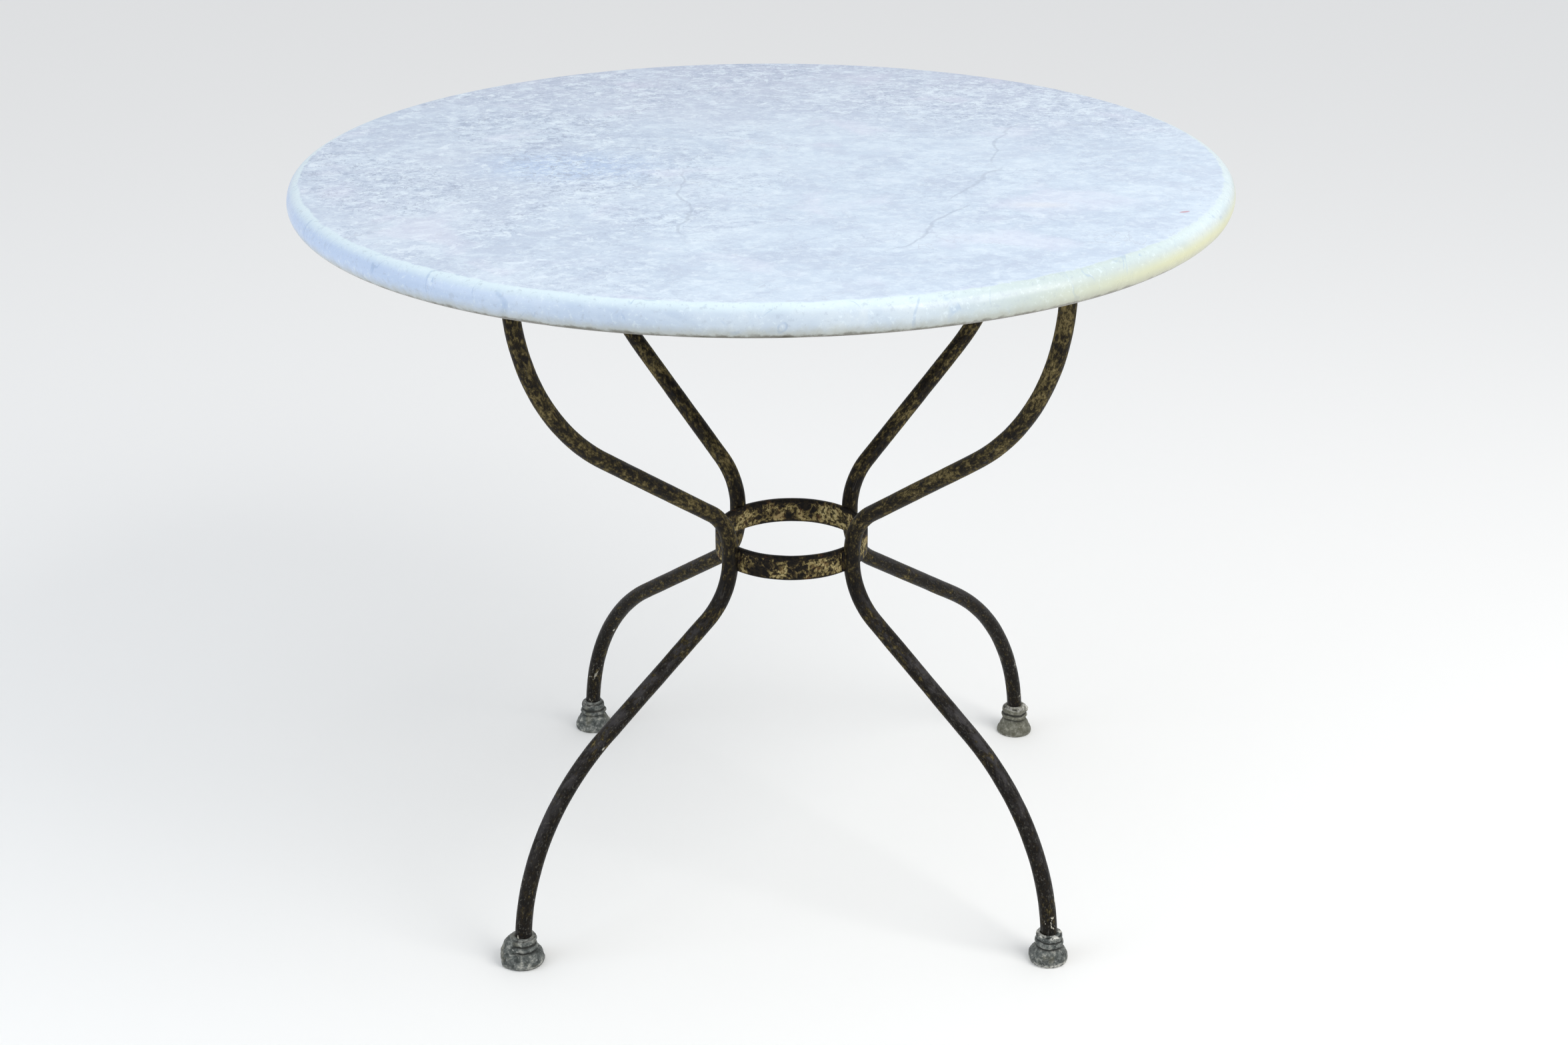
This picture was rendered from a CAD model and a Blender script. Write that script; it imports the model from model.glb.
"""Bistro table: a weathered marble slab on bent iron bars with old flaking paint and soft cast feet.

Metres, in the frame of the CAD model. Places come from the CAD nodes' boxes.
"""
from math import atan2, ceil, cos, hypot, pi, radians, sin, tan

import bpy
from mathutils import Matrix, Vector, noise


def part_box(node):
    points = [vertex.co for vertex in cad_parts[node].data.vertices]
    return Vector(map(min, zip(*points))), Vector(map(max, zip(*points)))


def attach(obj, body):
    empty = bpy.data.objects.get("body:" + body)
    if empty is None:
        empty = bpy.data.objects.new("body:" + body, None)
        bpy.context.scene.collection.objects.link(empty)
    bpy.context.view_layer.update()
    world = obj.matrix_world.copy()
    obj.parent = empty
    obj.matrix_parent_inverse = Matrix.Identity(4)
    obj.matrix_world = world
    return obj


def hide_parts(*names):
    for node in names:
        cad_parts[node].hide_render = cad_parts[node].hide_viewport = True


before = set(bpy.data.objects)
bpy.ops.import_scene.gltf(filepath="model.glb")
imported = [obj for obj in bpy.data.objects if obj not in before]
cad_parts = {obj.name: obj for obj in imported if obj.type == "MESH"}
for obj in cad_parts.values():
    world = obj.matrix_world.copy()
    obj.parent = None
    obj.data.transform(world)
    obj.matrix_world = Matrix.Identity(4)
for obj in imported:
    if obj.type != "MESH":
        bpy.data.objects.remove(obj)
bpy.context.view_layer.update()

MM = 0.001
CORNERS = ("front_left", "front_right", "back_left", "back_right")


def middle(node):
    """The middle of a CAD node's box."""
    low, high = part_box(node)
    return (low + high) / 2


def add_object(name, data):
    """A new object in the scene."""
    made = bpy.data.objects.new(name, data)
    bpy.context.scene.collection.objects.link(made)
    return made


# ---- shader recipes ------------------------------------------------------------
class Recipe:
    """One procedural material, with short calls for the nodes that it is made from."""

    def __init__(self, name, pattern="", **constants):
        self.material = bpy.data.materials.new(name)
        self.material.use_nodes = True
        self.tree = self.material.node_tree
        self.shader = self.tree.nodes["Principled BSDF"]
        self.place = self.node("ShaderNodeTexCoord").outputs["Object"]
        self.pattern = self.place
        if pattern:
            self.pattern = self.node("ShaderNodeAttribute", attribute_name=pattern).outputs["Vector"]
        for socket, value in constants.items():
            self.shader.inputs[socket.replace("_", " ")].default_value = value

    def node(self, kind, **settings):
        """A new node with its settings."""
        made = self.tree.nodes.new(kind)
        for key, value in settings.items():
            setattr(made, key, value)
        return made

    def feed(self, socket, value):
        """Gives a socket another node's output, a number or a colour."""
        if isinstance(value, bpy.types.NodeSocket):
            self.tree.links.new(value, socket)
        elif isinstance(value, tuple) and socket.type == "RGBA":
            socket.default_value = (*value, 1)
        else:
            socket.default_value = value

    def axes(self, vector):
        """The three numbers of a vector."""
        made = self.node("ShaderNodeSeparateXYZ")
        self.feed(made.inputs[0], vector)
        return made.outputs

    def attribute(self, name):
        """A named value of the mesh."""
        return self.node("ShaderNodeAttribute", attribute_name=name).outputs["Fac"]

    def stretched(self, factors, turn=0.0, centre=(0, 0, 0)):
        """The pattern's coordinates moved to a centre, turned about Z and stretched along each axis."""
        mapping = self.node("ShaderNodeMapping", vector_type="TEXTURE")
        self.feed(mapping.inputs["Vector"], self.pattern)
        mapping.inputs["Location"].default_value = centre
        mapping.inputs["Rotation"].default_value = (0, 0, turn)
        mapping.inputs["Scale"].default_value = factors
        return mapping.outputs["Vector"]

    def distance(self, centre, factors=(1, 1, 1), turn=0.0):
        """Distance from a point, with each axis divided by its factor."""
        made = self.node("ShaderNodeVectorMath", operation="LENGTH")
        self.feed(made.inputs[0], self.stretched(factors, turn, centre))
        return made.outputs["Value"]

    def noise(self, size, detail=3.0, rough=0.55, distort=0.0, at=None):
        """Noise whose blotches are about size metres across."""
        made = self.node("ShaderNodeTexNoise")
        self.feed(made.inputs["Vector"], at or self.pattern)
        made.inputs["Scale"].default_value = 1 / size
        made.inputs["Detail"].default_value = detail
        made.inputs["Roughness"].default_value = rough
        made.inputs["Distortion"].default_value = distort
        return made.outputs["Fac"]

    def specks(self, spacing, radius, share, at=None):
        """Small round specks in some of the cells of a Voronoi pattern."""
        made = self.node("ShaderNodeTexVoronoi")
        self.feed(made.inputs["Vector"], at or self.pattern)
        made.inputs["Scale"].default_value = 1 / spacing
        chosen = self.node("ShaderNodeSeparateColor")
        self.feed(chosen.inputs[0], made.outputs["Color"])
        kept = self.span(chosen.outputs[0], share - 0.02, share, 1.0, 0.0)
        reach = self.both(self.span(chosen.outputs[1], 0.0, 1.0, 0.5, 1.0), radius / spacing)
        near = self.math("SUBTRACT", reach, made.outputs["Distance"])
        return self.both(kept, self.span(near, 0.0, 0.35 * radius / spacing))

    def span(self, value, low, high, to_low=0.0, to_high=1.0):
        """A smooth step of value, from low to high. Low may be the greater of the two."""
        made = self.node("ShaderNodeMapRange", interpolation_type="SMOOTHSTEP")
        if low > high:
            low, high, to_low, to_high = high, low, to_high, to_low
        for socket, given in zip(made.inputs, (value, low, high, to_low, to_high)):
            self.feed(socket, given)
        return made.outputs["Result"]

    def line(self, value, half_width, middle=0.5):
        """1 where value crosses its middle, 0 beyond half_width on either side."""
        away = self.math("ABSOLUTE", self.math("SUBTRACT", value, middle))
        return self.span(away, half_width, half_width * 0.25)

    def math(self, operation, *values):
        """The operation on one value, or on several from left to right."""
        first, *more = values
        for second in more or (0.0,):
            made = self.node("ShaderNodeMath", operation=operation)
            self.feed(made.inputs[0], first)
            self.feed(made.inputs[1], second)
            first = made.outputs[0]
        return first

    def both(self, *masks):
        """Where two or more masks meet. A plain number among them weakens the result."""
        return self.math("MULTIPLY", *masks)

    def any_of(self, *masks):
        """The strongest of two or more masks."""
        return self.math("MAXIMUM", *masks)

    def mix(self, factor, first, second, kind="RGBA"):
        """Second over first by factor: two colours, or two numbers where kind is FLOAT."""
        made = self.node("ShaderNodeMix", data_type=kind)
        place_of_first, result = {"RGBA": (6, 2), "FLOAT": (2, 0)}[kind]
        for index, value in ((0, factor), (place_of_first, first), (place_of_first + 1, second)):
            self.feed(made.inputs[index], value)
        return made.outputs[result]

    def coats(self, colour, *layers):
        """Lays layers over a colour in turn, each given as a mask and its own colour."""
        for mask, tint in layers:
            colour = self.mix(mask, colour, tint)
        return colour

    def ramp(self, value, *stops):
        """A colour ramp through (position, colour) stops."""
        made = self.node("ShaderNodeValToRGB")
        self.feed(made.inputs["Fac"], value)
        elements = made.color_ramp.elements
        while len(elements) < len(stops):
            elements.new(0.5)
        for element, (position, colour) in zip(elements, stops):
            element.position = position
            element.color = (*colour, 1)
        return made.outputs["Color"]

    def bump(self, height, depth):
        """Relief of that depth in metres."""
        made = self.node("ShaderNodeBump")
        made.inputs["Strength"].default_value = 1.0
        made.inputs["Distance"].default_value = depth
        self.feed(made.inputs["Height"], height)
        return made.outputs["Normal"]

    def finish(self, colour, roughness, normal):
        """Joins the recipe's results to the shader and hands over the material."""
        self.feed(self.shader.inputs["Base Color"], colour)
        self.feed(self.shader.inputs["Roughness"], roughness)
        self.feed(self.shader.inputs["Normal"], normal)
        return self.material


# ---- marble --------------------------------------------------------------------
SLAB_LOW, SLAB_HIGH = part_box("marble_top")
SLAB_RADIUS = (SLAB_HIGH.x - SLAB_LOW.x) / 2
SLAB_THICKNESS = SLAB_HIGH.z - SLAB_LOW.z
SLAB_MIDDLE_Z = (SLAB_LOW.z + SLAB_HIGH.z) / 2
NOSE_RADIUS = SLAB_THICKNESS / 2
WORN_FLAT_RADIUS = SLAB_RADIUS - 12.5 * MM  # the bullnose has stayed smoother and whiter

# Long fine veins across the flat: middle, direction from +X in degrees, length and width.
FLAT_VEINS = (
    ((233 * MM, 80 * MM), 80, 190 * MM, 2.6 * MM),
    ((205 * MM, -75 * MM), 66, 150 * MM, 2.3 * MM),
    ((160 * MM, -220 * MM), 62, 190 * MM, 2.3 * MM),
    ((-66 * MM, -140 * MM), 97, 260 * MM, 2.3 * MM),
    ((-240 * MM, 120 * MM), 25, 150 * MM, 0.9 * MM),
    ((60 * MM, 250 * MM), -20, 190 * MM, 0.9 * MM),
)
FLAT_SWAY = 8 * MM  # how far a vein wanders to each side
# Short cracks on the bullnose, the same way.
NOSE_CRACKS = (
    ((-290 * MM, -352 * MM), -29, 50 * MM, 1.5 * MM),
    ((-398 * MM, -212 * MM), 35, 26 * MM, 2.2 * MM),
    ((-434 * MM, -120 * MM), -70, 30 * MM, 1.6 * MM),
    ((-190 * MM, -408 * MM), -50, 26 * MM, 1.8 * MM),
    ((140 * MM, -428 * MM), 70, 30 * MM, 1.5 * MM),
)
NOSE_SWAY = 3.5 * MM
# Oval marks on the flat: middle, stretch along X and turn in degrees.
BLUE_CLOUD = ((-185 * MM, -20 * MM), 1.5, 0)
GREY_BAND = ((-262 * MM, -115 * MM), 2.2, -55)
LIME_STAIN = ((258 * MM, -146 * MM), 2.6, 0)
RED_FLECK = ((385 * MM, -166 * MM), 2.4, 25)


def veins(marble, lines, sway):
    """Wandering lines: 1 along the middle of each, fading at its ends and at its sides."""
    wander = marble.span(marble.noise(64 * MM, 3, 0.5), 0.25, 0.75, -sway, sway)
    masks = []
    for (x, y), heading, length, width in lines:
        along, side, _ = marble.axes(marble.stretched((1, 1, 1), radians(heading), (x, y, SLAB_HIGH.z)))
        off_line = marble.math("ABSOLUTE", marble.math("ADD", side, wander))
        reach = marble.math("ABSOLUTE", along)
        masks.append(marble.both(marble.span(off_line, width, 0.2 * width),
                                 marble.span(reach, length / 2, length / 3)))
    return marble.any_of(*masks)


def oval(marble, mark, reach, core, strength=1.0):
    """An oval mark on the flat, at its full strength inside core and gone at reach."""
    (x, y), stretch, turn = mark
    away = marble.distance((x, y, SLAB_HIGH.z), (stretch, 1, 1), radians(turn))
    return marble.span(away, reach, core, 0.0, strength)


def honed_flat(marble):
    """Colour, roughness and relief of the flat: clouds, bruised flakes, dashes, veins and specks."""
    right, back, _ = marble.axes(marble.place)
    across = marble.stretched((1.12, 1.0, 1.0), radians(5))
    clouds = marble.noise(190 * MM, 2, 0.5, 0.3)
    veil = marble.noise(48 * MM, 5, 0.62, 0.4, across)
    plates = marble.noise(17 * MM, 5, 0.66, 0.5, across)
    flakes = marble.noise(10 * MM, 6, 0.7, 0.35, across)
    grain = marble.noise(3.4 * MM, 4, 0.72, 0.3, across)

    # Wear is strongest on the left and at the back, and weakest at the front.
    scuffed = marble.any_of(marble.span(right, 0.12, -0.2, 0.35, 1.0), marble.span(back, 0.05, 0.25, 0.35, 0.9))
    uneven = marble.span(marble.noise(120 * MM, 3, 0.55, 0.3), 0.40, 0.60, 0.3, 1.0)
    busy = marble.both(uneven, scuffed, marble.span(back, -0.40, -0.12, 0.45, 1.0))
    shaded = marble.any_of(marble.span(back, 0.02, 0.40, 0.0, 0.95), marble.span(right, 0.0, -0.42, 0.0, 0.35))

    dark_flakes = marble.any_of(marble.both(busy, marble.span(flakes, 0.46, 0.39)),
                                marble.both(oval(marble, GREY_BAND, 70 * MM, 12 * MM),
                                            marble.span(grain, 0.56, 0.42, 0.0, 0.6)))
    dashes = marble.both(marble.line(marble.noise(17 * MM, 4, 0.62, 0.7, across), 0.024),
                         marble.span(marble.noise(11 * MM, 3, 0.6, 0.2, across), 0.49, 0.54), busy)
    chalky = marble.both(marble.span(marble.noise(15 * MM, 5, 0.7, 0.6, across), 0.57, 0.61), scuffed)
    lines = veins(marble, FLAT_VEINS, FLAT_SWAY)
    hair = marble.both(marble.line(marble.noise(120 * MM, 5, 0.62, 0.7), 0.006),
                       marble.span(marble.noise(80 * MM, 2), 0.5, 0.62, 0.0, 0.45))
    rose = marble.span(marble.noise(95 * MM, 3, 0.5, 0.4), 0.55, 0.7, 0.0, 0.3)
    spots = marble.specks(85 * MM, 2.2 * MM, 0.55)

    ground = marble.ramp(clouds, (0.36, (0.53, 0.62, 0.75)), (0.5, (0.57, 0.665, 0.79)),
                         (0.64, (0.61, 0.695, 0.81)))
    colour = marble.coats(
        ground,
        (shaded, (0.50, 0.55, 0.68)),
        (oval(marble, BLUE_CLOUD, 85 * MM, 15 * MM, 0.85), (0.44, 0.56, 0.77)),
        (marble.span(veil, 0.5, 0.60, 0.0, 0.36), (0.67, 0.77, 0.875)),
        (marble.span(veil, 0.49, 0.40, 0.0, 0.36), (0.49, 0.555, 0.69)),
        (marble.span(plates, 0.545, 0.585, 0.0, 0.32), (0.71, 0.81, 0.90)),
        (marble.span(plates, 0.44, 0.39, 0.0, 0.30), (0.46, 0.52, 0.65)),
        (marble.both(marble.span(flakes, 0.535, 0.60), marble.span(busy, 0.1, 0.8, 0.3, 0.65)), (0.73, 0.83, 0.92)),
        (dark_flakes, (0.42, 0.49, 0.62)),
        (marble.both(marble.span(grain, 0.56, 0.66), marble.span(busy, 0.1, 0.8, 0.25, 0.6)), (0.80, 0.89, 0.97)),
        (marble.both(busy, marble.span(grain, 0.42, 0.32)), (0.35, 0.42, 0.54)),
        (marble.both(dashes, 0.95), (0.36, 0.42, 0.54)),
        (marble.both(chalky, 0.55), (0.78, 0.87, 0.95)),
        (marble.both(lines, marble.span(grain, 0.32, 0.5), 0.5), (0.37, 0.43, 0.54)),
        (hair, (0.47, 0.52, 0.62)),
        (oval(marble, LIME_STAIN, 14 * MM, 3 * MM, 0.35), (0.74, 0.73, 0.70)),
        (rose, (0.72, 0.72, 0.85)),
        (marble.both(spots, 0.8), (0.23, 0.27, 0.35)),
        (oval(marble, RED_FLECK, 2.6 * MM, 1.5 * MM, 0.75), (0.50, 0.20, 0.24)),
    )
    raised = marble.math("ADD", marble.both(flakes, 0.5), marble.both(grain, 0.5))
    sunk = marble.math("ADD", marble.both(lines, 0.25), marble.both(spots, 0.4))
    return colour, marble.span(flakes, 0.35, 0.62, 0.62, 0.44), marble.math("SUBTRACT", raised, sunk)


def smooth_bullnose(marble, up, right):
    """Colour, roughness and relief of the rounded edge: white on top, veined, and dirty underneath."""
    soft = marble.noise(55 * MM, 4, 0.6, 0.8)
    fine = marble.noise(5 * MM, 4, 0.7, 0.3)
    slanted = marble.stretched((1, 1, 2.2), radians(35))
    threads = marble.both(marble.line(marble.noise(34 * MM, 2, 0.5, 0.6, slanted), 0.016),
                          marble.span(marble.noise(44 * MM, 3, 0.6), 0.5, 0.6))
    cracks = veins(marble, NOSE_CRACKS, NOSE_SWAY)
    marks = marble.any_of(marble.both(threads, 0.42), marble.both(cracks, 0.36))
    spots = marble.specks(30 * MM, 1.8 * MM, 0.5)

    crown = marble.span(up, SLAB_MIDDLE_Z + 7 * MM, SLAB_HIGH.z - 0.5 * MM, 0.0, 0.8)
    warm_side = marble.both(marble.span(right, 0.10, 0.26, 0.0, 0.62), marble.span(right, 0.42, 0.30, 0.35, 1.0))
    low = marble.span(up, SLAB_MIDDLE_Z + 13 * MM, SLAB_MIDDLE_Z - 2 * MM)
    mossy_side = marble.both(low, marble.span(right, 0.16, 0.41), 0.85)
    ragged = marble.span(marble.noise(11 * MM, 4, 0.65), 0.3, 0.7, -1.4 * MM, 1.4 * MM)
    dirt_height = marble.math("ADD", up, ragged)

    ground = marble.ramp(soft, (0.35, (0.49, 0.575, 0.68)), (0.5, (0.555, 0.64, 0.73)),
                         (0.65, (0.61, 0.685, 0.75)))
    colour = marble.coats(
        ground,
        (marble.span(right, 0.1, -0.4, 0.0, 0.65), (0.48, 0.62, 0.90)),
        (crown, (0.71, 0.84, 0.88)),
        (warm_side, (0.475, 0.545, 0.515)),
        (marks, (0.30, 0.42, 0.62)),
        (marble.span(fine, 0.44, 0.34, 0.0, 0.4), (0.40, 0.46, 0.55)),
        (marble.span(fine, 0.56, 0.66, 0.0, 0.4), (0.76, 0.86, 0.92)),
        (marble.both(spots, 0.65), (0.22, 0.24, 0.25)),
        (mossy_side, (0.60, 0.59, 0.33)),
        (marble.span(dirt_height, SLAB_LOW.z + 16 * MM, SLAB_LOW.z + 3 * MM, 0.0, 0.7), (0.40, 0.40, 0.31)),
        (marble.span(dirt_height, SLAB_LOW.z + 6.5 * MM, SLAB_LOW.z + 2.5 * MM, 0.0, 0.9), (0.085, 0.075, 0.05)),
    )
    relief = marble.math("SUBTRACT", marble.both(soft, 0.3), marble.math("ADD", marks, spots))
    return colour, marble.span(soft, 0.35, 0.65, 0.34, 0.24), relief


def sawn_underside(marble):
    """Colour, roughness and relief of the hidden sawn face: saw arcs, dust and water stains."""
    saw_centre, saw_pitch = (-1.6, 0.4, SLAB_LOW.z), 5 * MM
    arcs = marble.math("SINE", marble.both(marble.distance(saw_centre), 2 * pi / saw_pitch))
    dust = marble.noise(40 * MM, 5, 0.6, 0.15)
    rings = marble.line(marble.noise(130 * MM, 3, 0.5, 0.1), 0.03, 0.56)
    ground = marble.ramp(dust, (0.35, (0.42, 0.41, 0.38)), (0.5, (0.56, 0.56, 0.53)),
                         (0.66, (0.66, 0.67, 0.66)))
    colour = marble.coats(ground, (marble.span(arcs, -1, 1, 0.0, 0.18), (0.38, 0.37, 0.34)),
                          (marble.both(rings, 0.4), (0.36, 0.31, 0.23)))
    return colour, marble.span(dust, 0.3, 0.7, 0.7, 0.9), marble.both(arcs, 0.3)


def weathered_marble():
    """Pale marble left outdoors: a dulled flat, a smoother bullnose and a sawn underside."""
    marble = Recipe("weathered_marble", Specular_IOR_Level=0.4)
    right, back, up = marble.axes(marble.place)
    radius = marble.math("SQRT", marble.math("ADD", marble.both(right, right), marble.both(back, back)))
    ragged = marble.span(marble.noise(24 * MM, 5, 0.62), 0.28, 0.72, -1.6 * MM, 1.6 * MM)
    edge = marble.math("ADD", radius, ragged)
    on_flat = marble.both(marble.span(edge, WORN_FLAT_RADIUS + 1.3 * MM, WORN_FLAT_RADIUS - 1.3 * MM),
                          marble.span(up, SLAB_HIGH.z - 4 * MM, SLAB_HIGH.z - 2 * MM))
    below = marble.both(marble.span(up, SLAB_LOW.z + 1.2 * MM, SLAB_LOW.z + 0.3 * MM),
                        marble.span(radius, SLAB_RADIUS - 8 * MM, SLAB_RADIUS - 12 * MM))
    colour, roughness, relief = smooth_bullnose(marble, up, right)
    for mask, zone in ((on_flat, honed_flat(marble)), (below, sawn_underside(marble))):
        colour = marble.mix(mask, colour, zone[0])
        roughness = marble.mix(mask, roughness, zone[1], "FLOAT")
        relief = marble.mix(mask, relief, zone[2], "FLOAT")
    return marble.finish(colour, roughness, marble.bump(relief, 0.22 * MM))


# ---- old paint on iron ---------------------------------------------------------
BLACK_PAINT = (0.0055, 0.0048, 0.0045)
BROWN_PAINT = (0.016, 0.012, 0.007)
OLIVE_COAT = (0.040, 0.032, 0.014)
KHAKI_COAT = (0.110, 0.086, 0.036)
TAN_COAT = (0.215, 0.170, 0.078)
CREAM_PRIMER = (0.50, 0.48, 0.40)
PAINT_GLOSS = 0.09
# Height in metres, and how worn the bars' paint is there.
BAR_WEAR = ((0.0, 0.35), (0.14, 0.36), (0.27, 0.41), (0.34, 0.445), (0.42, 0.50), (0.72, 0.555))


def bar_paint():
    """Paint on the bars: flaked all over at the top, nearly whole and black below, chipped by the feet."""
    iron = Recipe("flaking_bar_paint", pattern="bar_run", Specular_IOR_Level=PAINT_GLOSS)
    up = iron.axes(iron.place)[2]
    facing_up = iron.axes(iron.node("ShaderNodeTexCoord").outputs["Normal"])[2]
    streaked = iron.stretched((1, 1, 1.7))
    patches = iron.noise(4.1 * MM, 5, 0.7, 0.2, streaked)
    grain = iron.noise(2.0 * MM, 3, 0.6, 0.2, streaked)
    drift = iron.both(iron.math("SUBTRACT", iron.noise(42 * MM, 2, 0.5), 0.5), 0.42)
    wear = iron.ramp(up, *((height, (amount,) * 3) for height, amount in BAR_WEAR))
    shaded_side = iron.both(iron.span(facing_up, 0.2, -0.6, 0.0, 0.06), iron.span(up, 0.36, 0.30))
    level = iron.math("ADD", patches, drift, iron.math("SUBTRACT", wear, 0.5), shaded_side)

    lower_half = iron.span(up, 0.36, 0.27)
    cloudy = iron.noise(9 * MM, 4, 0.66, 0.2, iron.stretched((1, 1, 2.4)))
    bloom = iron.both(iron.span(cloudy, 0.40, 0.60, 0.1, 1.0), lower_half, iron.span(facing_up, 0.05, 0.75))
    scratches = iron.both(iron.line(iron.noise(9 * MM, 2, 0.5, 0.3, iron.stretched((1, 1, 9))), 0.012),
                          iron.span(iron.noise(30 * MM, 2), 0.53, 0.62))
    foot_chips = iron.both(iron.span(iron.noise(5 * MM, 3, 0.6, 0.5, iron.stretched((1, 1, 1.8))), 0.62, 0.66),
                           iron.span(iron.noise(22 * MM, 1), 0.48, 0.58), iron.span(up, 0.13, 0.04))
    chips = iron.any_of(foot_chips, iron.specks(52 * MM, 3.2 * MM, 0.16, streaked))

    # From the black top coat to the palest undercoat, as level rises.
    worn = iron.ramp(level, (0.40, BLACK_PAINT), (0.47, BROWN_PAINT), (0.51, OLIVE_COAT),
                     (0.59, KHAKI_COAT), (0.72, TAN_COAT))
    colour = iron.coats(
        worn,
        (iron.span(grain, 0.52, 0.36, 0.0, 0.85), BROWN_PAINT),
        (iron.both(bloom, iron.span(level, 0.52, 0.42)), (0.044, 0.041, 0.043)),
        (iron.both(lower_half, iron.span(grain, 0.55, 0.64), 0.5), (0.080, 0.075, 0.062)),
        (iron.both(scratches, 0.4), (0.08, 0.075, 0.07)),
        (chips, CREAM_PRIMER),
    )
    roughness = iron.mix(iron.span(bloom, 0, 1), iron.span(level, 0.42, 0.58, 0.38, 0.72), 0.5, "FLOAT")
    relief = iron.math("SUBTRACT", iron.both(grain, 0.35), iron.any_of(iron.span(level, 0.47, 0.54), chips))
    return iron.finish(colour, roughness, iron.bump(relief, 0.22 * MM))


def hoop_paint():
    """Paint on the flat iron: crazed into a golden network, dark along both edges."""
    iron = Recipe("crazed_hoop_paint", Specular_IOR_Level=PAINT_GLOSS)
    up = iron.axes(iron.place)[2]
    grain = iron.noise(3.4 * MM, 3, 0.6)
    network = iron.line(iron.noise(8.5 * MM, 3, 0.6, 0.25), 0.12)
    low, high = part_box("waist_hoop")
    edges = iron.any_of(iron.span(up, high.z - 4.5 * MM, high.z - 1.5 * MM),
                        iron.span(up, low.z + 3 * MM, low.z + 1 * MM))
    below_slab = iron.span(up, 0.5, 0.45)
    level = iron.math("ADD", iron.both(iron.noise(13 * MM, 4, 0.62, 0.3), 0.75), iron.both(network, 0.14),
                      iron.both(iron.noise(34 * MM, 2, 0.5), 0.42))
    level = iron.math("SUBTRACT", level, 0.135, iron.both(edges, below_slab, 0.13))
    crazed = iron.ramp(level, (0.40, BLACK_PAINT), (0.47, (0.020, 0.014, 0.009)), (0.51, (0.072, 0.054, 0.024)),
                       (0.58, (0.185, 0.145, 0.060)), (0.68, (0.42, 0.345, 0.165)))
    rust = iron.span(iron.noise(13 * MM, 3, 0.6), 0.57, 0.70)
    colour = iron.coats(crazed, (iron.span(grain, 0.50, 0.42, 0.0, 0.9), BROWN_PAINT),
                        (iron.both(rust, 0.4), (0.11, 0.045, 0.018)))
    relief = iron.math("ADD", iron.both(grain, 0.3), iron.span(level, 0.44, 0.52))
    return iron.finish(colour, iron.span(level, 0.42, 0.56, 0.5, 0.78), iron.bump(relief, 0.25 * MM))


def weld_paint():
    """Paint over the weld beads: dark, with a few olive flecks and rust in the dips."""
    iron = Recipe("painted_weld", Specular_IOR_Level=PAINT_GLOSS)
    patches = iron.noise(6 * MM, 4, 0.62, 0.2)
    colour = iron.ramp(patches, (0.42, BLACK_PAINT), (0.50, (0.030, 0.018, 0.010)), (0.56, OLIVE_COAT),
                       (0.68, KHAKI_COAT))
    normal = iron.bump(iron.noise(1.8 * MM, 3), 0.25 * MM)
    return iron.finish(colour, iron.span(patches, 0.4, 0.6, 0.5, 0.75), normal)


# ---- soft grey casting ---------------------------------------------------------
def oxidised_casting():
    """Dull grey casting with a pale bloom, dark in its grooves, limy where water has stood."""
    metal = Recipe("oxidised_casting", Metallic=0.2, Specular_IOR_Level=0.25)
    bloom = metal.noise(7 * MM, 5, 0.66, 0.25)
    fine = metal.noise(2.4 * MM, 4, 0.65, 0.2)
    earth = metal.any_of(metal.span(metal.noise(19 * MM, 3, 0.6), 0.5, 0.66, 0.0, 0.35),
                         metal.span(metal.distance(middle("foot_back_right")), 60 * MM, 40 * MM, 0.0, 0.42))
    lime = metal.both(metal.attribute("lime"), metal.span(fine, 0.36, 0.5),
                      metal.span(metal.noise(9 * MM, 2), 0.42, 0.55))
    dull = metal.ramp(bloom, (0.36, (0.040, 0.046, 0.043)), (0.46, (0.085, 0.094, 0.090)),
                      (0.55, (0.165, 0.176, 0.166)), (0.66, (0.42, 0.42, 0.38)))
    colour = metal.coats(
        dull,
        (metal.span(fine, 0.57, 0.70, 0.0, 0.6), (0.46, 0.46, 0.43)),
        (metal.span(fine, 0.42, 0.30, 0.0, 0.7), (0.040, 0.043, 0.040)),
        (earth, (0.17, 0.155, 0.095)),
        (metal.span(metal.attribute("grime"), 0.1, 0.9, 0.0, 0.88), (0.018, 0.018, 0.016)),
        (lime, (0.66, 0.65, 0.60)),
    )
    relief = metal.math("ADD", metal.both(bloom, 0.5), metal.both(fine, 0.5))
    return metal.finish(colour, metal.span(bloom, 0.36, 0.62, 0.48, 0.8), metal.bump(relief, 0.4 * MM))


def pad_rubber():
    """Black rubber gone grey with dust."""
    rubber = Recipe("pad_rubber")
    grain = rubber.noise(1.2 * MM, 3)
    dust = rubber.noise(7 * MM, 3)
    colour = rubber.coats((0.012, 0.012, 0.012), (grain, (0.035, 0.034, 0.032)),
                          (rubber.span(dust, 0.45, 0.7, 0.0, 0.5), (0.11, 0.105, 0.095)))
    return rubber.finish(colour, rubber.span(grain, 0.3, 0.7, 0.7, 0.9), rubber.bump(grain, 0.1 * MM))


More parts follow.
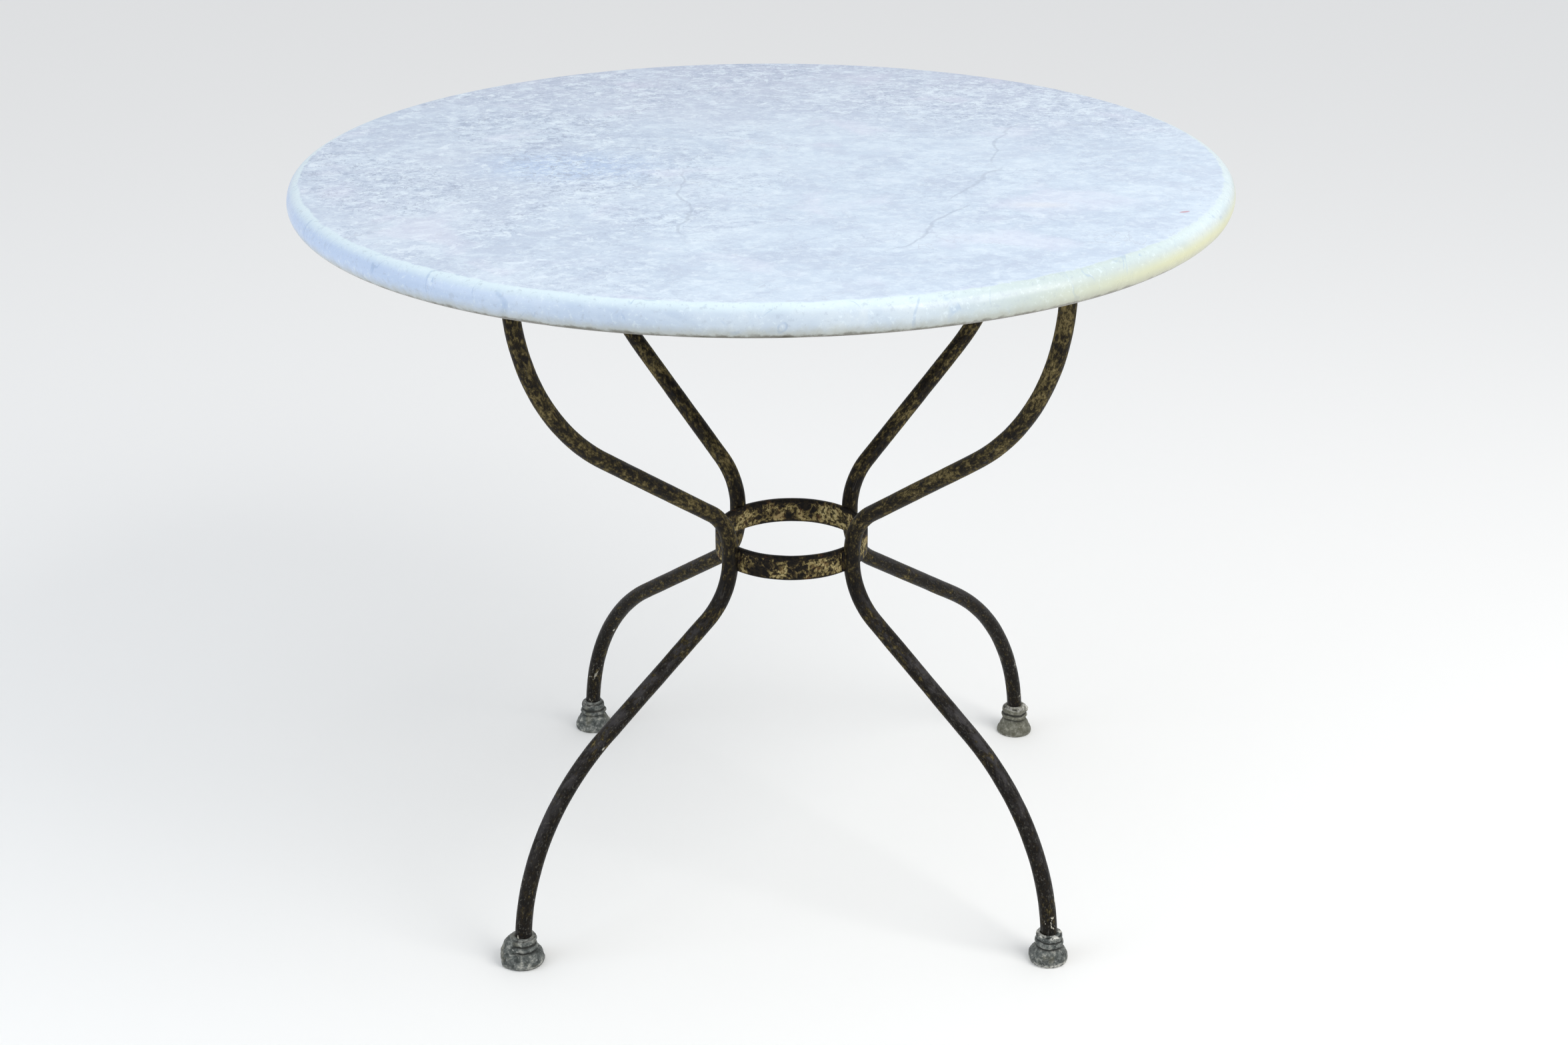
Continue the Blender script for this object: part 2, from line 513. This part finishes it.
# ---- geometry-node trees -------------------------------------------------------
class Tree:
    """A geometry-node tree with named sizes as its inputs."""

    def __init__(self, name, **sizes):
        self.group = bpy.data.node_groups.new(name, "GeometryNodeTree")
        self.interface = self.group.interface
        self.interface.new_socket("Geometry", in_out="INPUT", socket_type="NodeSocketGeometry")
        for label, default in sizes.items():
            kind = "NodeSocketInt" if isinstance(default, int) else "NodeSocketFloat"
            self.interface.new_socket(label, in_out="INPUT", socket_type=kind).default_value = default
        self.interface.new_socket("Material", in_out="INPUT", socket_type="NodeSocketMaterial")
        self.interface.new_socket("Geometry", in_out="OUTPUT", socket_type="NodeSocketGeometry")
        self.inputs = self.group.nodes.new("NodeGroupInput").outputs
        self.end = self.group.nodes.new("NodeGroupOutput").inputs

    def node(self, kind, feeds, **settings):
        """A new node's outputs, once it has its settings and its inputs."""
        made = self.group.nodes.new(kind)
        for key, value in settings.items():
            setattr(made, key, value)
        for key, value in feeds.items():
            if isinstance(value, bpy.types.NodeSocket):
                self.group.links.new(value, made.inputs[key])
            else:
                made.inputs[key].default_value = value
        return made.outputs

    def math(self, operation, first, second=0.0):
        return self.node("ShaderNodeMath", {0: first, 1: second}, operation=operation)[0]

    def captured(self, geometry, value):
        """Geometry with a float field kept on its points, and that kept field."""
        made = self.group.nodes.new("GeometryNodeCaptureAttribute")
        made.capture_items.new("FLOAT", "Value")
        self.group.links.new(geometry, made.inputs["Geometry"])
        self.group.links.new(value, made.inputs["Value"])
        return made.outputs["Geometry"], made.outputs["Value"]

    def even_path(self):
        """The base mesh's edges as curves, with points step apart."""
        path = self.node("GeometryNodeMeshToCurve", {"Mesh": self.inputs["Geometry"]})[0]
        return self.node("GeometryNodeResampleCurve", {"Curve": path, "Length": self.inputs["step"]},
                         mode="LENGTH")[0]

    def hammered(self, mesh):
        """Moves the surface in and out along its normals, as uneven hand work does."""
        wave = self.node("ShaderNodeTexNoise",
                         {"Scale": self.math("DIVIDE", 1.0, self.inputs["hammer_size"]), "Detail": 2.0})
        amount = self.math("MULTIPLY", self.math("SUBTRACT", wave["Fac"], 0.5), self.inputs["hammer_depth"])
        push = self.node("ShaderNodeVectorMath",
                         {0: self.node("GeometryNodeInputNormal", {})[0], "Scale": amount}, operation="SCALE")
        return self.node("GeometryNodeSetPosition", {"Geometry": mesh, "Offset": push[0]})[0]

    def close(self, geometry):
        """Ends the tree: smooth shading, real geometry and its material."""
        smooth = self.node("GeometryNodeSetShadeSmooth", {"Geometry": geometry})[0]
        real = self.node("GeometryNodeRealizeInstances", {"Geometry": smooth})[0]
        painted = self.node("GeometryNodeSetMaterial", {"Geometry": real, "Material": self.inputs["Material"]})
        self.group.links.new(painted[0], self.end[0])
        return self


def harden(name, tree, base, material, **sizes):
    """Runs a tree on a base mesh and keeps its result as one plain mesh at the origin."""
    piece = add_object(name, base)
    modifier = piece.modifiers.new(name, "NODES")
    modifier.node_group = tree.group
    wanted = {"Material": material, **sizes}
    for socket in tree.interface.items_tree:
        if socket.in_out == "INPUT" and socket.name in wanted:
            modifier[socket.identifier] = wanted[socket.name]
    evaluated = piece.evaluated_get(bpy.context.evaluated_depsgraph_get())
    result = bpy.data.meshes.new_from_object(evaluated)
    result.materials.clear()  # some mesh nodes leave an empty slot before the tree's own
    result.materials.append(material)
    piece.modifiers.remove(modifier)
    piece.data = result
    return piece


def line_mesh(name, points, edges):
    """A mesh of edges alone, for a tree to follow."""
    mesh = bpy.data.meshes.new(name)
    mesh.from_pydata(points, edges, [])
    return mesh


def bar_tree():
    """Round bar along a path, capped at both ends, carrying the unbent bar's coordinates as bar_run."""
    tree = Tree("bent_bar", radius=8 * MM, facets=40, step=2 * MM, start=0.0,
                hammer_depth=0.6 * MM, hammer_size=26 * MM)
    along = tree.node("GeometryNodeSplineParameter", {})
    path, run = tree.captured(tree.even_path(), along["Length"])
    ring = tree.node("GeometryNodeCurvePrimitiveCircle",
                     {"Resolution": tree.inputs["facets"], "Radius": tree.inputs["radius"]})[0]
    ring, share = tree.captured(ring, along["Factor"])
    tube = tree.node("GeometryNodeCurveToMesh", {"Curve": path, "Profile Curve": ring, "Fill Caps": True})[0]
    angle = tree.math("MULTIPLY", share, 2 * pi)
    around = [tree.math("MULTIPLY", tree.math(turn, angle), tree.inputs["radius"]) for turn in ("COSINE", "SINE")]
    straight = tree.node("ShaderNodeCombineXYZ",
                         {"X": around[0], "Y": around[1], "Z": tree.math("ADD", run, tree.inputs["start"])})[0]
    tube = tree.node("GeometryNodeStoreNamedAttribute", {"Geometry": tube, "Name": "bar_run", "Value": straight},
                     data_type="FLOAT_VECTOR", domain="POINT")[0]
    return tree.close(tree.hammered(tube))


def hoop_tree():
    """Flat iron with softened edges, bent round into a hoop."""
    tree = Tree("flat_iron_hoop", thickness=6 * MM, height=25 * MM, edge_radius=1.2 * MM, step=1.6 * MM,
                hammer_depth=0.5 * MM, hammer_size=18 * MM)
    section = tree.node("GeometryNodeCurvePrimitiveQuadrilateral",
                        {"Width": tree.inputs["thickness"], "Height": tree.inputs["height"]})[0]
    soft = tree.node("GeometryNodeFilletCurve",
                     {"Curve": section, "Count": 4, "Radius": tree.inputs["edge_radius"]}, mode="POLY")[0]
    fine = tree.node("GeometryNodeResampleCurve", {"Curve": soft, "Length": tree.inputs["step"]}, mode="LENGTH")[0]
    band = tree.node("GeometryNodeCurveToMesh", {"Curve": tree.even_path(), "Profile Curve": fine})[0]
    return tree.close(tree.hammered(band))


def weld_tree():
    """A run of overlapping drops on each upright line, every one a little different."""
    tree = Tree("weld_bead", drop_radius=2.5 * MM, drop_height=2.4 * MM, step=1.6 * MM, seed=4,
                hammer_depth=0.5 * MM, hammer_size=4 * MM)
    drop = tree.node("GeometryNodeMeshIcoSphere", {"Radius": 1.0, "Subdivisions": 4})[0]
    shape = tree.node("ShaderNodeCombineXYZ", {"X": tree.inputs["drop_radius"], "Y": tree.inputs["drop_radius"],
                                               "Z": tree.inputs["drop_height"]})[0]
    # Of a random value's inputs, 0 and 1 are a vector's least and greatest, and 2 and 3 a number's.
    vary = tree.node("FunctionNodeRandomValue", {2: 0.85, 3: 1.12, "Seed": tree.inputs["seed"]},
                     data_type="FLOAT")[1]
    scale = tree.node("ShaderNodeVectorMath", {0: shape, "Scale": vary}, operation="SCALE")[0]
    tilt = tree.node("FunctionNodeRandomValue", {0: (-0.25, -0.25, 0.0), 1: (0.25, 0.25, 2 * pi),
                                                 "Seed": tree.inputs["seed"]}, data_type="FLOAT_VECTOR")[0]
    drops = tree.node("GeometryNodeInstanceOnPoints",
                      {"Points": tree.even_path(), "Instance": drop, "Scale": scale, "Rotation": tilt})[0]
    real = tree.node("GeometryNodeRealizeInstances", {"Geometry": drops})[0]
    return tree.close(tree.hammered(real))


# ---- bent bars, hoops and welds ------------------------------------------------
BAR_RADIUS = 8.25 * MM
BEND_RADII = (233 * MM, 57 * MM, 68 * MM, 234 * MM)
BEND_HEIGHTS = (569 * MM, 392 * MM, 314.5 * MM, 141 * MM)
WAIST_RADIUS = 83 * MM
SHOULDER_RADIUS = 336 * MM
BAR_END_Z = 8 * MM
HOOP_THICKNESS = 6 * MM
HOOP_POINTS = 180
PATTERN_GAP = 3.0  # between the paint patterns of two bars, so that no flake comes twice
WELD_INSET = 2 * MM  # from the end of a bead to the middle of its last drop
WELD_OFFSET = 0.4 * MM  # from the corner to the middle of its bead
BASE = middle("waist_hoop")


def around_base(azimuth, out, side, z):
    """A point out from the base's axis and to the left of that line."""
    return (BASE.x + out * cos(azimuth) - side * sin(azimuth), BASE.y + out * sin(azimuth) + side * cos(azimuth), z)


def foot_place(corner):
    """Azimuth and distance of a foot, seen from the base's axis."""
    away = middle(f"foot_{corner}") - BASE
    return atan2(away.y, away.x), hypot(away.x, away.y)


def rounded_path(corners, radii, turn_step=radians(2)):
    """A flat path whose inner corners are rounded, as (out, up) points."""
    path = [Vector(corners[0])]
    for before, corner, after, radius in zip(corners, corners[1:], corners[2:], radii):
        corner = Vector(corner)
        came, goes = (corner - Vector(before)).normalized(), (Vector(after) - corner).normalized()
        turn = came.angle_signed(goes)
        start = corner - came * (radius * tan(abs(turn) / 2))
        side = 1 if turn > 0 else -1
        centre = start + Vector((came.y, -came.x)) * side * radius
        steps = ceil(abs(turn) / turn_step)
        for i in range(steps + 1):
            path.append(centre + Matrix.Rotation(-turn * i / steps, 2) @ (start - centre))
    path.append(Vector(corners[-1]))
    return path


def make_bar(corner, number, tree, material):
    """One bent bar, from its pad down to its foot."""
    azimuth, foot_radius = foot_place(corner)
    top_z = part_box(f"leg_{corner}")[1].z
    outs = (SHOULDER_RADIUS, WAIST_RADIUS, WAIST_RADIUS, foot_radius)
    corners = [(SHOULDER_RADIUS, top_z), *zip(outs, BEND_HEIGHTS), (foot_radius, BAR_END_Z)]
    points = [around_base(azimuth, out, 0, z) for out, z in rounded_path(corners, BEND_RADII)]
    edges = [(i, i + 1) for i in range(len(points) - 1)]
    bar = harden(f"bar_{corner}", tree, line_mesh(f"bar_line_{corner}", points, edges), material,
                 radius=BAR_RADIUS, start=PATTERN_GAP * number)
    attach(bar, "base")
    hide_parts(f"leg_{corner}")


def make_hoop(name, node, tree, material):
    """A hoop of flat iron on edge, in the place of its CAD node."""
    low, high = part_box(node)
    radius = (high.x - low.x) / 2 - HOOP_THICKNESS / 2
    points = [around_base(2 * pi * i / HOOP_POINTS, radius, 0, (low.z + high.z) / 2) for i in range(HOOP_POINTS)]
    edges = [(i, (i + 1) % HOOP_POINTS) for i in range(HOOP_POINTS)]
    hoop = harden(name, tree, line_mesh(f"{name}_line", points, edges), material,
                  thickness=HOOP_THICKNESS, height=high.z - low.z)
    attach(hoop, "base")
    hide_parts(node)


def make_welds(name, node, hoop_node, bar_centre_radius, tree, material):
    """Beads up both corners between a hoop and each bar that it is let into."""
    low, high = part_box(hoop_node)
    weld_low, weld_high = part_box(node)
    hoop_radius = (high.x - low.x) / 2
    corner_out = (hoop_radius**2 + bar_centre_radius**2 - BAR_RADIUS**2) / (2 * bar_centre_radius)
    corner_side = (hoop_radius**2 - corner_out**2) ** 0.5
    points, edges = [], []
    for corner in CORNERS:
        azimuth = foot_place(corner)[0]
        for side in (-1, 1):
            for z in (weld_low.z + WELD_INSET, weld_high.z - WELD_INSET):
                points.append(around_base(azimuth, corner_out, side * (corner_side + WELD_OFFSET), z))
            edges.append((len(points) - 2, len(points) - 1))
    welds = harden(name, tree, line_mesh(f"{name}_lines", points, edges), material)
    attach(welds, "base")
    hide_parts(node)


# ---- turned and cast shapes ----------------------------------------------------
def turned_mesh(name, profile, facets, place, marks=None):
    """A closed solid of revolution.

    place(radius, height, angle) puts each point. Marks are named values of the points, each worked
    out from a spot of the profile and an angle.
    """
    rings = profile[1:-1]
    points = [place(0, profile[0][1], 0)]
    for radius, height, *_ in rings:
        points += [place(radius, height, 2 * pi * i / facets) for i in range(facets)]
    points.append(place(0, profile[-1][1], 0))
    top = len(points) - 1
    faces = []
    for i in range(facets):
        j = (i + 1) % facets
        faces.append((0, 1 + j, 1 + i))
        for ring in range(len(rings) - 1):
            a, b = 1 + ring * facets, 1 + (ring + 1) * facets
            faces.append((a + i, a + j, b + j, b + i))
        last = 1 + (len(rings) - 1) * facets
        faces.append((last + i, last + j, top))
    mesh = bpy.data.meshes.new(name)
    mesh.from_pydata(points, [], faces)
    for mark, value_at in (marks or {}).items():
        values = [value_at(ring, 2 * pi * i / facets) for ring in rings for i in range(facets)]
        values = [value_at(profile[0], 0), *values, value_at(profile[-1], 0)]
        mesh.attributes.new(mark, "FLOAT", "POINT").data.foreach_set("value", values)
    mesh.shade_smooth()
    return mesh


NOSE_STEPS = 28
SLAB_FACETS = 360
EDGE_WAVE, EDGE_WEAR = 70 * MM, 0.7 * MM  # length and depth of the hand work round the edge
NICK_SIZE, NICK_DEPTH = 16 * MM, 5 * MM
NICK_HEIGHT, NICK_REACH = 3 * MM, 5 * MM  # above the slab's lower face, and to either side of that
NICKS_SPARED = 0.42  # the higher, the fewer nicks


def make_slab(material):
    """The marble slab: a full bullnose, hand-worked a little unevenly and nicked along its lower edge."""
    flat_radius = SLAB_RADIUS - NOSE_RADIUS
    flat_rings = [flat_radius * share for share in (0.2, 0.4, 0.6, 0.8, 0.94)]
    turns = [radians(-90 + 180 * i / NOSE_STEPS) for i in range(NOSE_STEPS + 1)]
    nose = [(flat_radius + NOSE_RADIUS * cos(turn), SLAB_MIDDLE_Z + NOSE_RADIUS * sin(turn)) for turn in turns]
    profile = [(0, SLAB_LOW.z), *((r, SLAB_LOW.z) for r in flat_rings), *nose,
               *((r, SLAB_HIGH.z) for r in reversed(flat_rings)), (0, SLAB_HIGH.z)]

    def place(radius, height, angle):
        x, y = radius * cos(angle), radius * sin(angle)
        on_nose = max(0, (radius - flat_radius) / NOSE_RADIUS)
        wave = noise.noise(Vector((x, y, height)) / EDGE_WAVE) * 0.5 + 0.5
        nick = max(0, noise.noise(Vector((x, y, 3 * height)) / NICK_SIZE) - NICKS_SPARED)
        low_edge = max(0, 1 - abs(height - SLAB_LOW.z - NICK_HEIGHT) / NICK_REACH)
        hollow = on_nose * EDGE_WEAR * wave + NICK_DEPTH * nick * low_edge * min(1, on_nose * 3)
        shrink = 1 - hollow / radius if radius > 0 else 1
        return (x * shrink, y * shrink, height)

    mesh = turned_mesh("marble_slab", profile, SLAB_FACETS, place)
    mesh.materials.append(material)
    slab = add_object("marble_slab", mesh)
    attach(slab, "top")
    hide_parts("marble_top")


# The castings are worked out in millimetres. Dome runs from 0, a straight cone, to 1, a full dome.
# A bead is given by its radius, its middle's height and half its own height. Lime_rim is how limy
# the rim and the mouth are.
CASTINGS = {
    "front_left": dict(rim=20.2, neck=12.6, bell_top=15.8, dome=0.8, lower_bead=(14.4, 19.3, 3.1),
                       upper_bead=(13.0, 26.2, 3.0), lime_rim=0.15, rim_z=4.0),
    "front_right": dict(rim=19.3, neck=12.2, bell_top=16.6, dome=0.5, lower_bead=(14.2, 20.6, 3.3),
                        upper_bead=(13.2, 27.2, 2.9), lime_rim=0.75, rim_z=3.4),
    "back_left": dict(rim=20.6, neck=12.6, bell_top=19.0, dome=0.25, lower_bead=(15.0, 21.3, 2.3),
                      upper_bead=(12.9, 28.4, 3.4), lime_rim=0.15, rim_z=2.2),
    "back_right": dict(rim=20.0, neck=12.8, bell_top=18.6, dome=0.12, lower_bead=(14.9, 21.2, 2.6),
                       upper_bead=(14.0, 28.6, 3.4), lime_rim=0.35, rim_z=1.8),
}
CASTING_FACETS = 96
BELL_STEPS = 12
BORE_RADIUS = 7.9
LAST_BEND, LAST_BEND_END = 234.0, 12.0  # the bar still leans a little where it enters the casting
# One casting slumped in its mould: from its mouth to its rim, that side is a smooth swelling.
SLUMP = dict(corner="front_left", towards=176, radius=23.2, middle=6.0, reach=26.0)
# Lime has built up in a lump on one mouth.
CRUST = dict(corner="back_right", towards=-15, out=12.0, height=31.5, size=8.0, swell=2.6)
DENTS = ((10, 0.9), (3.6, 0.75))  # size and depth
MOUTH_SWAY = 1.4  # how far the beads and the mouth rise and fall


def casting_profile(rim, neck, bell_top, dome, lower_bead, upper_bead, height, lime_rim, rim_z):
    """Section of one casting from the middle of its sole, round outside, to the bottom of its bore.

    Each point is a radius, a height, and how much grime and how much lime lie there.
    """
    sole = rim - 0.55 * rim_z
    points = [(0, 0, 0.2, 0), (0.4 * sole, 0, 0.2, 0), (sole, 0, 0.4, lime_rim)]
    points += [(rim - 0.17 * rim_z, 0.22 * rim_z, 0.3, lime_rim), (rim - 0.04 * rim_z, 0.6 * rim_z, 0.1, lime_rim)]
    start, end = Vector((rim, rim_z)), Vector((neck, bell_top))
    first = start + Vector((0, 2.5 + 4.5 * dome))
    second = end + Vector((1.0 + 6.5 * dome, (dome - 1) * 5.0))
    for i in range(BELL_STEPS + 1):
        t = i / BELL_STEPS
        spot = start * (1 - t)**3 + first * (3 * t * (1 - t)**2) + second * (3 * t * t * (1 - t)) + end * t**3
        points.append((spot.x, spot.y, 0.9 * t**6, lime_rim * max(0, 0.7 - 9 * t)))
    for bead_radius, bead_z, half in (lower_bead, upper_bead):
        for angle in range(-75, 76, 25):
            share = cos(radians(angle))
            groove = max(0, abs(angle) - 25) / 50
            pale = 1.2 * lime_rim if angle > 30 and bead_z > 23 else 0
            points.append((neck - 0.6 + (bead_radius - neck + 0.6) * share, bead_z + half * sin(radians(angle)),
                           groove**2, pale))
    points += [(BORE_RADIUS + 2.6, height - 0.6, 0.1, lime_rim), (BORE_RADIUS + 1.5, height, 0.1, lime_rim)]
    points += [(BORE_RADIUS + 0.5, height - 0.1, 0.2, lime_rim), (BORE_RADIUS, height - 0.6, 0.9, 0)]
    return [*points, (BORE_RADIUS, BAR_END_Z / MM, 1, 0), (0, BAR_END_Z / MM, 1, 0)]


def make_casting(corner, number, material):
    """One soft cast foot: a bell and two beads round the end of its bar."""
    low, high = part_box(f"foot_{corner}")
    centre = (low + high) / 2
    height = (high.z - low.z) / MM
    azimuth = foot_place(corner)[0]
    profile = casting_profile(height=height, **CASTINGS[corner])
    seed = Vector((31 * number, 17, 5))

    def slumped(angle):
        """How much the casting has slumped towards that angle, from 0 to 1."""
        if corner != SLUMP["corner"]:
            return 0
        return min(1, max(0, 1.3 * cos(angle - radians(SLUMP["towards"])))) ** 2.5

    def crusted(radius, z, angle):
        """How thick the lump of lime is there, from 0 to 1."""
        if corner != CRUST["corner"]:
            return 0
        heading = radians(CRUST["towards"])
        lump = Vector((CRUST["out"] * cos(heading), CRUST["out"] * sin(heading), CRUST["height"]))
        here = Vector((radius * cos(angle), radius * sin(angle), z))
        return max(0, 1 - ((here - lump).length / CRUST["size"]) ** 2) ** 2

    def swelling(radius, z, angle):
        """How much the slump and the lime add to the radius."""
        rise = min(1, abs(z - SLUMP["middle"]) / SLUMP["reach"])
        slump = slumped(angle) * max(0, SLUMP["radius"] * (1 - rise**2) ** 0.5 - radius)
        return slump + CRUST["swell"] * crusted(radius, z, angle)

    def place(radius, z, angle):
        outer = min(1, max(0, (radius - BORE_RADIUS - 0.5) / 2))
        spot = Vector((radius * cos(angle), radius * sin(angle), z))
        dents = sum(noise.noise(spot / size + seed) * depth for size, depth in DENTS)
        radius += outer * (swelling(radius, z, angle) + dents * min(1, z / 3))
        sway = noise.noise(Vector((cos(angle), sin(angle), number * 2.0)) * 1.3) * MOUTH_SWAY * outer * min(1, z / 12)
        lean = (1 - outer) * (LAST_BEND - (LAST_BEND**2 - max(0, z - LAST_BEND_END) ** 2) ** 0.5)
        z = min(max(0, z + sway), height)
        x, y = radius * cos(angle) - lean * cos(azimuth), radius * sin(angle) - lean * sin(azimuth)
        return (centre.x + x * MM, centre.y + y * MM, z * MM)

    marks = {"grime": lambda spot, angle: spot[2] * (1 - slumped(angle)),
             "lime": lambda spot, angle: min(1, spot[3] + crusted(spot[0], spot[1], angle))}
    mesh = turned_mesh(f"cast_foot_{corner}", profile, CASTING_FACETS, place, marks)
    mesh.materials.append(material)
    casting = add_object(f"cast_foot_{corner}", mesh)
    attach(casting, "base")
    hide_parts(f"foot_{corner}")


def finish_pads(material):
    """The rubber pads keep their CAD shape and get their finish."""
    for corner in CORNERS:
        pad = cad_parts[f"pad_{corner}"]
        pad.data.materials.clear()
        pad.data.materials.append(material)


# ---- stage, light and camera ---------------------------------------------------
CAMERA_PLACE = (0.1072, -2.2422, 1.3280)
CAMERA_HEADING = radians(2.22)  # to the left of straight ahead
CAMERA_DIP = radians(23.15)
CAMERA_ROLL = radians(-0.23)
FOCAL_LENGTH, SENSOR_WIDTH = 54.83, 36  # in millimetres
FLOOR_REACH = 14
LIGHT_AIM = Vector((0, 0, 0.45))


def make_camera():
    """The camera that looks down on the table from the front."""
    data = bpy.data.cameras.new("camera")
    data.lens = FOCAL_LENGTH
    data.sensor_width = SENSOR_WIDTH
    camera = add_object("camera", data)
    turn = (Matrix.Rotation(CAMERA_HEADING, 4, "Z") @ Matrix.Rotation(pi / 2 - CAMERA_DIP, 4, "X")
            @ Matrix.Rotation(CAMERA_ROLL, 4, "Z"))
    camera.matrix_world = Matrix.Translation(CAMERA_PLACE) @ turn
    bpy.context.scene.camera = camera


def make_floor():
    """A wide pale floor."""
    mesh = bpy.data.meshes.new("floor")
    corners = [(x * FLOOR_REACH, y * FLOOR_REACH, 0) for x, y in ((-1, -1), (1, -1), (1, 1), (-1, 1))]
    mesh.from_pydata(corners, [], [(0, 1, 2, 3)])
    floor = add_object("floor", mesh)
    paint = Recipe("pale_floor")
    paint.shader.inputs["Base Color"].default_value = (0.95, 0.95, 0.95, 1)
    paint.shader.inputs["Roughness"].default_value = 0.9
    mesh.materials.append(paint.material)


def make_light(name, place, size, power, colour):
    """A square lamp that points at the table."""
    data = bpy.data.lights.new(name, "AREA")
    data.size = size
    data.energy = power
    data.color = colour
    light = add_object(name, data)
    light.location = place
    light.rotation_euler = (LIGHT_AIM - Vector(place)).to_track_quat("-Z", "Y").to_euler()


def make_studio():
    """An even pale sky with a warm lamp on the right and a cool one on the left."""
    world = bpy.data.worlds.new("studio")
    world.use_nodes = True
    sky = world.node_tree.nodes["Background"]
    sky.inputs["Color"].default_value = (0.97, 0.985, 1.0, 1)
    sky.inputs["Strength"].default_value = 0.77
    bpy.context.scene.world = world
    bpy.context.scene.view_settings.view_transform = "Standard"
    make_light("key", place=(1.7, -1.1, 2.2), size=1.5, power=36, colour=(1.0, 0.99, 0.95))
    make_light("cool_side", place=(-2.4, -1.2, 1.9), size=1.8, power=16, colour=(0.84, 0.92, 1.0))


make_camera()
make_floor()
make_studio()

make_slab(weathered_marble())

bent_bar, paint_of_bars = bar_tree(), bar_paint()
for number, corner in enumerate(CORNERS):
    make_bar(corner, number, bent_bar, paint_of_bars)

flat_iron, paint_of_hoops = hoop_tree(), hoop_paint()
make_hoop("waist_band", "waist_hoop", flat_iron, paint_of_hoops)
make_hoop("top_band", "top_hoop", flat_iron, paint_of_hoops)

weld_bead, paint_of_welds = weld_tree(), weld_paint()
make_welds("waist_weld_beads", "waist_welds", "waist_hoop", WAIST_RADIUS, weld_bead, paint_of_welds)
make_welds("top_weld_beads", "top_welds", "top_hoop", SHOULDER_RADIUS, weld_bead, paint_of_welds)

foot_metal = oxidised_casting()
for number, corner in enumerate(CORNERS):
    make_casting(corner, number, foot_metal)
finish_pads(pad_rubber())
